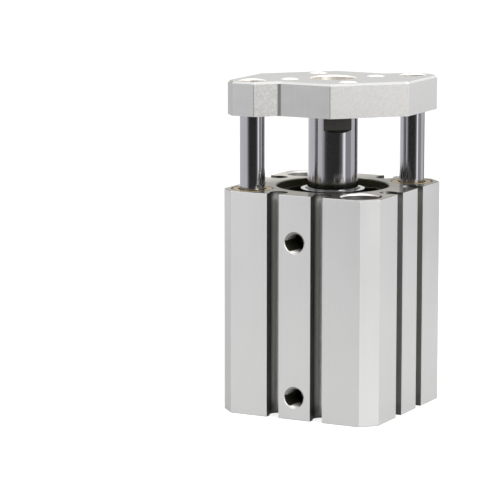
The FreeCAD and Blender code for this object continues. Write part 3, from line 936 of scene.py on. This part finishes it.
@dataclass(frozen=True)
class TurnedMetal(Finish):
    """Metal turned on a lathe: rings about the axis, with a bright nose where there is one."""

    depth: float = 0.002
    # Distance between tool marks in millimetres, their tones, and the stains' size
    feed: float = 0.12
    mark_tones: Pair = (0.25, 0.75)
    stain: Sizes = (1.5, 1.5, 1.5)
    # Bright nose: radius, or zero where there is none, inner radius, and lower end
    nose_radius: float = 0.0
    nose_inner: float = 6.5
    nose_low: float = 51.72
    nose_colour: Colour = (0.5, 0.49, 0.47)
    nose_levels: Pair = (0.9, 1.05)
    nose_roughness: float = 0.2

    def pattern(self, tree: Shading) -> None:
        """Paint the tool marks and the nose.

        Args:
            tree: The node tree.
        """
        reach = tree.from_axis()
        turns = tree.math("MULTIPLY", tree.math("ADD", reach, tree.z), 2 * math.pi / (self.feed * MM))
        marks = tree.spread(tree.math("SINE", turns), *self.mark_tones)
        stains = tree.noise(self.stain, detail=3.0)
        mixed = tree.average(marks, stains)
        nose = tree.both(tree.below(reach, self.nose_radius), tree.above(reach, self.nose_inner))
        nose = tree.both(nose, tree.above(tree.z, self.nose_low))
        bright = tree.vary(mixed, self.nose_colour, self.nose_levels)
        tree.paint(
            tree.blend(nose, self.tones(tree, mixed), bright),
            tree.pick(nose, self.uneven(tree, stains), self.nose_roughness))
        tree.relief(marks, self.depth)


@dataclass(frozen=True)
class MottledSkin(Finish):
    """Skin with an even mottle, as phosphated steel, sintered magnets and moulded rubber have."""

    stray: float = 0.08
    # Sizes of the mottle and its larger patches, in millimetres
    grain: Sizes = (0.2, 0.2, 0.2)
    patch: Sizes = (2.0, 2.0, 2.0)

    def pattern(self, tree: Shading) -> None:
        """Paint the mottle.

        Args:
            tree: The node tree.
        """
        mottle = tree.noise(self.grain, detail=3.0)
        patches = tree.noise(self.patch)
        colour = self.tones(tree, tree.average(mottle, patches))
        tree.paint(colour, self.uneven(tree, patches))
        tree.relief(mottle, self.depth)


# Modelling helpers

def clear_selection() -> None:
    """Leave edit mode and deselect every object."""
    if bpy.context.mode != "OBJECT":
        bpy.ops.object.mode_set(mode="OBJECT")
    bpy.ops.object.select_all(action="DESELECT")


def activate(piece: Object) -> None:
    """Select one piece alone, and make it the active object.

    Args:
        piece: The piece.
    """
    clear_selection()
    piece.select_set(True)
    bpy.context.view_layer.objects.active = piece


def select_vertices(piece: Object, test: Callable[[Vector], bool]) -> None:
    """Select a piece's vertices by their place, and enter edit mode.

    Args:
        piece: The piece, which is the active object.
        test: Says of a place whether it is selected.
    """
    bpy.ops.object.mode_set(mode="EDIT")
    bpy.ops.mesh.select_mode(type="VERT")
    bpy.ops.mesh.select_all(action="DESELECT")
    bpy.ops.object.mode_set(mode="OBJECT")
    for vertex in piece.data.vertices:
        vertex.select = test(vertex.co)
    bpy.ops.object.mode_set(mode="EDIT")


def apply_modifiers(piece: Object) -> None:
    """Apply all modifiers of a piece, which is the active object."""
    for modifier in list(piece.modifiers):
        bpy.ops.object.modifier_apply(modifier=modifier.name)


def revolve(piece: Object, angle: float, steps: int, rise: float = 0.0, turns: int = 1) -> None:
    """Sweep a piece about the Z axis.

    Args:
        piece: The piece, which is the active object.
        angle: Angle of one turn, in radians.
        steps: Faces along one turn.
        rise: Rise with each turn, in metres.
        turns: Number of turns.
    """
    bpy.ops.object.modifier_add(type="SCREW")
    screw = piece.modifiers[-1]
    screw.axis = "Z"
    screw.angle = angle
    screw.screw_offset = rise
    screw.iterations = turns
    screw.steps = steps
    screw.render_steps = steps
    apply_modifiers(piece)


def apply_place() -> None:
    """Move the place, turn and scale of the selected object into its mesh."""
    bpy.ops.object.transform_apply(location=True, rotation=True, scale=True)


def dress(names: Sequence[str], finish: Finish) -> Material:
    """Give CAD nodes a finish.

    Args:
        names: The nodes.
        finish: The finish.

    Returns:
        Its material.
    """
    material = finish.make()
    for name in names:
        frame["nodes"][name].material_slots[0].material = material
        LOG.info("%s: %s", name, finish.name)
    return material


# Threads

class Facing(Enum):
    """Way in which a tapped hole runs, as a turn from +Z."""

    UPWARD = (0.0, 0.0, 0.0)
    INTO_PORT = (-math.pi / 2, 0.0, 0.0)


@dataclass(frozen=True)
class InternalThread:
    """Helical ridge on the wall of one kind of tapped hole, in millimetres.

    Attributes:
        nominal: Nominal diameter.
        pitch: Pitch of the thread.
        length: Length of the threaded wall.
        facing: Way in which the holes run from where that wall starts.
        sunk_at_end: Whether the countersink is at the wall's end instead of its start.
    """

    nominal: float
    pitch: float
    length: float
    facing: Facing
    sunk_at_end: bool = False

    # Faces along one turn of the ridge, and round the tools that trim it
    TURN_FACES: ClassVar[int] = 48
    TOOL_FACES: ClassVar[int] = 64
    # How far the ridge reaches into the wall, and its height and widths as shares of the pitch
    EMBED: ClassVar[float] = 0.02
    HEIGHT_SHARE: ClassVar[float] = 0.541
    ROOT_SHARE: ClassVar[float] = 0.875
    CREST_SHARE: ClassVar[float] = 0.25
    # How much smaller than the nominal radius the countersink is
    SUNK_SHY: ClassVar[float] = 0.15
    # Distance under which vertices are merged, and degrees over which an edge is sharp
    WELD: ClassVar[float] = 0.0005
    CREASE: ClassVar[float] = 35.0

    def build(self, mouths: dict[str, Sequence[float]], body: str, slot: str, material: Material) -> None:
        """Model the ridge once, and put a copy of it into each hole.

        Args:
            mouths: Name of each piece, and where the threaded wall of its hole starts.
            body: Body that the pieces ride on.
            slot: Slot of the record; not used.
            material: Finish of the walls that they stand on.
        """
        model = self.section()
        self.sweep(model)
        self.trim(model)
        for name, mouth in mouths.items():
            activate(model)
            bpy.ops.object.duplicate()
            piece = bpy.context.active_object
            piece.name = name
            piece.data.name = name
            piece.rotation_euler = self.facing.value
            piece.location = [length * MM for length in mouth]
            apply_place()
            piece.data.materials.append(material)
            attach(piece, body)
            LOG.info("%s: %d faces", name, len(piece.data.polygons))
        bpy.data.objects.remove(model)

    def section(self) -> Object:
        """Shape the ridge's section out of a plane that stands beside the axis.

        Returns:
            The section, one turn below the start of the threaded wall.
        """
        height = self.HEIGHT_SHARE * self.pitch + self.EMBED
        middle = self.nominal / 2 + self.EMBED - height / 2
        start = -self.pitch * MM
        clear_selection()
        bpy.ops.mesh.primitive_plane_add(size=1.0)
        piece = bpy.context.active_object
        piece.rotation_euler = (math.pi / 2, 0.0, 0.0)
        piece.scale = (height * MM, self.ROOT_SHARE * self.pitch * MM, 1.0)
        piece.location = (middle * MM, 0.0, start)
        apply_place()
        select_vertices(piece, lambda place: place.x < middle * MM)
        narrowing = (1.0, 1.0, self.CREST_SHARE / self.ROOT_SHARE)
        bpy.ops.transform.resize(value=narrowing, center_override=(0.0, 0.0, start))
        bpy.ops.mesh.select_all(action="SELECT")
        bpy.ops.mesh.delete(type="ONLY_FACE")
        bpy.ops.object.mode_set(mode="OBJECT")
        return piece

    def sweep(self, piece: Object) -> None:
        """Sweep the section along its helix, a turn past both ends, and close the ridge.

        Args:
            piece: The section.
        """
        turns = math.ceil(self.length / self.pitch) + 2
        revolve(piece, 2 * math.pi, self.TURN_FACES, self.pitch * MM, turns)
        select_vertices(piece, lambda place: True)
        bpy.ops.mesh.fill_holes(sides=4)
        bpy.ops.mesh.normals_make_consistent(inside=False)

    def trim(self, piece: Object) -> None:
        """Keep what lies along the threaded wall, and cut the countersink.

        Args:
            piece: The swept ridge.
        """
        length = self.length * MM
        clear_selection()
        bpy.ops.mesh.primitive_cylinder_add(
            vertices=self.TOOL_FACES, radius=self.nominal * MM, depth=length,
            location=(0.0, 0.0, length / 2))
        self.combine(piece, bpy.context.active_object, "INTERSECT")
        mouth = (self.nominal / 2 - self.SUNK_SHY) * MM
        clear_selection()
        bpy.ops.mesh.primitive_cone_add(
            vertices=self.TOOL_FACES, radius1=mouth, radius2=0.0, depth=mouth,
            location=(0.0, 0.0, mouth / 2))
        countersink = bpy.context.active_object
        if self.sunk_at_end:
            countersink.rotation_euler = (math.pi, 0.0, 0.0)
            countersink.location.z = length - mouth / 2
        self.combine(piece, countersink, "DIFFERENCE")
        select_vertices(piece, lambda place: True)
        bpy.ops.mesh.remove_doubles(threshold=self.WELD * MM)
        bpy.ops.mesh.normals_make_consistent(inside=False)
        bpy.ops.object.mode_set(mode="OBJECT")
        bpy.ops.object.shade_smooth_by_angle(angle=math.radians(self.CREASE))

    def combine(self, piece: Object, tool: Object, operation: str) -> None:
        """Cut the ridge with a tool, and put the tool away.

        Args:
            piece: The ridge.
            tool: The tool.
            operation: Way of the boolean.
        """
        activate(piece)
        bpy.ops.object.modifier_add(type="BOOLEAN")
        cut = piece.modifiers[-1]
        cut.operation = operation
        cut.object = tool
        apply_modifiers(piece)
        bpy.data.objects.remove(tool)


# Sub-assemblies

@dataclass(frozen=True)
class Barrel:
    """Everything that stays with the body."""

    body: str = "barrel"
    slot: str = "anodised_body"
    # Pitch of the port threads, in millimetres
    port_pitch: float = 0.8

    def build(self) -> None:
        """Dress the solids and cut the port threads."""
        skin = AnodisedExtrusion("anodised_extrusion", (0.775, 0.775, 0.765), wander=0.06, roughness=0.42)
        material = dress(["cylinder_tube"], skin)
        self.dress_closures()
        self.cut_ports(material)

    def dress_closures(self) -> None:
        """Dress the covers, rings, seals and bushes."""
        # The rod cover's dark colour is painted shade in the bore's recess; only the top of its nose is
        # bright
        cover = TurnedMetal(
            "dark_turned_cover", (0.024, 0.024, 0.016), wander=0.3, roughness=0.4, nose_radius=7.6)
        dress(["rod_cover"], cover)
        bottom = TurnedMetal("turned_bottom_cover", (0.55, 0.55, 0.54), wander=0.06, roughness=0.34)
        dress(["bottom_cover"], bottom)
        ring = MottledSkin("phosphated_ring", (0.028, 0.027, 0.02), wander=0.3, roughness=0.4)
        dress(["rod_cover_retaining_ring", "bottom_retaining_ring"], ring)
        seal = MottledSkin("nitrile_seal", (0.02, 0.02, 0.021), wander=0.25, roughness=0.55, metallic=0.0)
        dress(["rod_seal", "rod_cover_gasket", "bottom_cover_gasket"], seal)
        bumper = MottledSkin(
            "urethane_bumper", (0.35, 0.26, 0.09), wander=0.15, roughness=0.45, metallic=0.0)
        dress(["rod_side_bumper", "head_side_bumper"], bumper)
        bushes = [f"guide_bush_{side}_{level}" for side in ("right", "left") for level in ("upper", "lower")]
        dress(bushes, SinteredBronze("sintered_bronze", (0.42, 0.34, 0.235), wander=0.25, roughness=0.26))

    def cut_ports(self, material: Material) -> None:
        """Put a thread into each port.

        Args:
            material: Finish of the extrusion.
        """
        ports = {label: MOUNTS[f"{label}_port"] for label in PORTS}
        sizes = ports["rod_side"]["dims"]
        thread = InternalThread(2 * sizes["r_mm"], self.port_pitch, sizes["length_mm"], Facing.INTO_PORT)
        mouths = {
            f"port_thread_{label}": [length / MM for length in port["pos_m"]]
            for label, port in ports.items()}
        thread.build(mouths, self.body, self.slot, material)


@dataclass(frozen=True)
class SlideAssembly:
    """Everything that moves with the piston rod."""

    body: str = "slide"
    slot: str = "machined_plate"
    # Plate's threads, in millimetres: nominal diameter, pitch, and chamfer at their mouths
    tap: float = 2 * MOUNTS["plate_tapped_holes"]["dims"]["hole_r_mm"]
    tap_pitch: float = 0.7
    tap_edge: float = 0.3

    def build(self) -> None:
        """Dress the solids and cut the plate's threads."""
        plate = MilledPlate("milled_plate", (0.67, 0.67, 0.66), wander=0.11, roughness=0.42)
        material = dress(["end_plate"], plate)
        self.dress_rods()
        self.dress_piston()
        self.tap_plate(material)

    def dress_rods(self) -> None:
        """Dress the three rods and the screws that hold them."""
        chrome: Colour = (0.5, 0.5, 0.515)
        dress(["piston_rod"], HardChrome("chromed_piston_rod", chrome, wander=0.05, roughness=0.085))
        guide = HardChrome("chromed_guide_rod", chrome, wander=0.05, roughness=0.085, flat_low=100.0)
        dress(["guide_rod_right", "guide_rod_left"], guide)
        screw = MottledSkin("black_oxide_screw", (0.04, 0.038, 0.035), wander=0.3, roughness=0.35)
        dress(["piston_rod_screw", "guide_rod_screw_right", "guide_rod_screw_left"], screw)

    def dress_piston(self) -> None:
        """Dress the piston, its magnet and its seals."""
        half = TurnedMetal("turned_piston", (0.55, 0.55, 0.54), wander=0.06, roughness=0.32)
        dress(["piston_front_half", "piston_rear_half"], half)
        magnet = MottledSkin("bonded_magnet", (0.09, 0.09, 0.1), wander=0.2, roughness=0.5)
        dress(["magnet_ring"], magnet)
        seal = MottledSkin(
            "nitrile_piston_seal", (0.02, 0.02, 0.021), wander=0.25, roughness=0.5, metallic=0.0)
        dress(["piston_seal", "piston_gasket"], seal)

    def tap_plate(self, material: Material) -> None:
        """Put a thread into each tapped hole of the plate.

        Args:
            material: Finish of the plate.
        """
        low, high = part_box("end_plate")
        length = (high.z - low.z) / MM - self.tap_edge
        thread = InternalThread(self.tap, self.tap_pitch, length, Facing.UPWARD, sunk_at_end=True)
        places = [(x * TAP_OFFSET, y * TAP_OFFSET, low.z / MM) for x in (-1, 1) for y in (-1, 1)]
        mouths = {f"plate_thread_{number}": place for number, place in enumerate(places, start=1)}
        thread.build(mouths, self.body, self.slot, material)


# Studio

def direction(azimuth: float, elevation: float) -> Vector:
    """Way from the object to what stands at an azimuth and an elevation.

    Args:
        azimuth: Angle from -Y towards +X, in degrees.
        elevation: Angle above the horizon, in degrees.

    Returns:
        The way, with a length of one.
    """
    turn = math.radians(azimuth)
    rise = math.radians(elevation)
    return Vector((math.sin(turn) * math.cos(rise), -math.cos(turn) * math.cos(rise), math.sin(rise)))


def stand(data: bpy.types.ID, place: Sequence[float], back: Vector) -> Object:
    """Put a lamp or a camera into the scene.

    Args:
        data: The lamp or camera.
        place: Where it stands, in metres.
        back: Way that its back faces.

    Returns:
        Its object.
    """
    holder = bpy.data.objects.new(data.name, data)
    holder.location = place
    holder.rotation_euler = (-back).to_track_quat("-Z", "Y").to_euler()
    bpy.context.scene.collection.objects.link(holder)
    return holder


@dataclass(frozen=True)
class ReflectionBand:
    """Upright band round the object, with a brightness for each azimuth, that only reflections see.

    Azimuths are in degrees from -Y towards +X, and lengths in millimetres.
    """

    name: str
    low: float
    high: float
    start: float = -180.0
    end: float = 180.0
    radius: float = 200.0
    # Azimuths, and how bright the band is there
    tones: tuple[Pair, ...] = (
        (-180, 1.4), (-122, 1.4), (-106, 0.84), (-27, 0.8), (-18, 0.45), (-8, 0.09), (4, 0.036), (50, 0.036),
        (64, 0.14), (71, 0.55), (75, 1.45), (82, 1.45), (85, 0.4), (112, 0.4), (117, 0.78), (152, 0.78),
        (155, 0.03), (164, 0.03), (172, 1.4), (180, 1.4),
    )
    # What that brightness is multiplied by in each channel
    tint: Colour = (0.985, 0.97, 1.01)
    steps: int = 96

    def build(self) -> None:
        """Sweep an edge round the object and stage it for reflections only."""
        band = self.edge()
        revolve(band, math.radians(self.end - self.start), self.steps)
        band.data.materials.append(self.glow())
        band.visible_camera = False
        band.visible_diffuse = False
        band.visible_shadow = False
        band.visible_transmission = False

    def edge(self) -> Object:
        """Narrow a plane to one edge, and stand it where the band starts.

        Returns:
            The edge.
        """
        clear_selection()
        bpy.ops.mesh.primitive_plane_add(size=1.0)
        band = bpy.context.active_object
        band.name = self.name
        select_vertices(band, lambda place: True)
        bpy.ops.transform.resize(value=(0.0, 1.0, 1.0))
        bpy.ops.mesh.remove_doubles()
        bpy.ops.object.mode_set(mode="OBJECT")
        band.rotation_euler.x = -math.pi / 2
        band.scale.y = (self.high - self.low) * MM
        band.location = (0.0, -self.radius * MM, (self.low + self.high) / 2 * MM)
        apply_place()
        band.rotation_euler.z = math.radians(self.start)
        apply_place()
        return band

    def glow(self) -> Material:
        """Make a glow that follows the azimuth.

        Returns:
            The material.
        """
        tree = Shading(self.name)
        azimuth = tree.math("ARCTAN2", tree.x, tree.math("MULTIPLY", tree.y, -1.0))
        ramp = tree.nodes.new("ShaderNodeValToRGB")
        tree.feed(ramp.inputs["Fac"], tree.stretch(azimuth, (-math.pi, math.pi), (0.0, 1.0)))
        stops = ramp.color_ramp.elements
        while len(stops) < len(self.tones):
            stops.new(0.5)
        for stop, (turn, level) in zip(stops, self.tones):
            stop.position = turn / 360 + 0.5
            stop.color = (*shade(self.tint, level), 1.0)
        light = tree.nodes.new("ShaderNodeEmission")
        tree.feed(light.inputs["Color"], ramp.outputs["Color"])
        tree.surface(light.outputs[0])
        return tree.material


@dataclass(frozen=True)
class Softbox:
    """Soft area lamp aimed at the middle of the object, in degrees and metres."""

    name: str
    azimuth: float
    elevation: float
    distance: float
    width: float
    watts: float

    def build(self, aim: Vector) -> Object:
        """Make the lamp.

        Args:
            aim: What it points at, in metres.

        Returns:
            The lamp.
        """
        lamp = bpy.data.lights.new(self.name, "AREA")
        lamp.shape = "DISK"
        lamp.size = self.width
        lamp.energy = self.watts
        back = direction(self.azimuth, self.elevation)
        return stand(lamp, aim + back * self.distance, back)


@dataclass(frozen=True)
class Studio:
    """White studio with soft lamps, and the camera of the photograph."""

    # Strength of the even light on matt surfaces
    fill: float = 0.75
    lamps: tuple[Softbox, ...] = (
        Softbox("key_softbox", azimuth=66.0, elevation=25.0, distance=0.9, width=0.45, watts=4.4),
        Softbox("top_softbox", azimuth=0.0, elevation=86.0, distance=0.8, width=1.2, watts=5.0),
    )
    # Nodes that the lamps are kept off
    rods: tuple[str, ...] = ("piston_rod", "guide_rod_left", "guide_rod_right")
    # What the rods and the ends mirror round the object
    bands: tuple[ReflectionBand, ...] = (
        ReflectionBand("round_band", low=0.0, high=48.0),
        ReflectionBand("upper_band", low=48.0, high=95.0, start=-148.0, end=144.0),
    )
    # Camera, in millimetres and in degrees from -Y towards +X, and its lens in pixels
    camera_place: Sizes = (293.503, -606.101, 150.669)
    camera_azimuth: float = 27.492
    camera_elevation: float = 9.590
    focal_pixels: float = 2896.1
    picture_width: float = 500.0
    sensor: float = 36.0
    # Floor: width in metres, drop in millimetres, and the even white that is seen in it
    floor_width: float = 6.0
    floor_drop: float = 0.02
    floor_colour: Colour = (0.9, 0.9, 0.9)
    floor_glow: float = 0.7
    floor_white: float = 1.15
    floor_reflected: float = 0.68

    def build(self) -> None:
        """Make the world, the floor, the lamps, the bands and the camera."""
        bpy.context.scene.view_settings.view_transform = "Standard"
        self.light_world()
        self.lay_floor()
        low, high = cad_box
        self.spare_rods([lamp.build((low + high) / 2) for lamp in self.lamps])
        for band in self.bands:
            band.build()
        self.place_camera()

    def spare_rods(self, lamps: list[Object]) -> None:
        """Keep the lamps off the chromed rods, which mirror the bands and the white room alone.

        Args:
            lamps: The lamps.
        """
        spared = bpy.data.collections.new("spared_rods")
        for name in self.rods:
            spared.objects.link(frame["nodes"][name])
        for entry in spared.collection_objects:
            entry.light_linking.link_state = "EXCLUDE"
        for lamp in lamps:
            lamp.light_linking.receiver_collection = spared

    def light_world(self) -> None:
        """White to the eye and to reflections, and an even fill for matt surfaces."""
        world = bpy.data.worlds.new("white_studio")
        bpy.context.scene.world = world
        world.use_nodes = True
        tree = Tree(world.node_tree)
        fill = tree.nodes["Background"]
        white = tree.nodes.new("ShaderNodeBackground")
        for background, strength in ((fill, self.fill), (white, 1.0)):
            tree.feed(background.inputs["Color"], WHITE)
            tree.feed(background.inputs["Strength"], strength)
        mixed = tree.layer(tree.seen(), fill.outputs[0], white.outputs[0])
        tree.links.new(mixed, tree.nodes["World Output"].inputs["Surface"])

    def lay_floor(self) -> None:
        """Pale floor that fades into the white background and keeps a soft shadow."""
        clear_selection()
        bpy.ops.mesh.primitive_plane_add(size=self.floor_width)
        floor = bpy.context.active_object
        floor.name = "studio_floor"
        floor.location.z = -self.floor_drop * MM
        apply_place()
        tree = Shading("studio_floor")
        matt = tree.nodes.new("ShaderNodeBsdfDiffuse")
        tree.feed(matt.inputs["Color"], self.floor_colour)
        glow = tree.nodes.new("ShaderNodeEmission")
        camera = tree.nodes.new("ShaderNodeLightPath").outputs["Is Camera Ray"]
        tree.feed(glow.inputs["Strength"], tree.spread(camera, self.floor_reflected, self.floor_white))
        share = tree.math("MULTIPLY", tree.seen(), self.floor_glow)
        tree.surface(tree.layer(share, matt.outputs[0], glow.outputs[0]))
        floor.data.materials.append(tree.material)

    def place_camera(self) -> None:
        """Camera at the photograph's place and angle."""
        lens = bpy.data.cameras.new("photo_camera")
        lens.sensor_width = self.sensor
        lens.lens = self.sensor * self.focal_pixels / self.picture_width
        place = [length * MM for length in self.camera_place]
        camera = stand(lens, place, direction(self.camera_azimuth, self.camera_elevation))
        bpy.context.scene.camera = camera


def main() -> None:
    """Build the studio, then the barrel, then what slides in it."""
    logging.basicConfig(level=logging.INFO, format="%(name)s: %(message)s")
    Studio().build()
    Barrel().build()
    SlideAssembly().build()


if __name__ == "__main__":
    main()
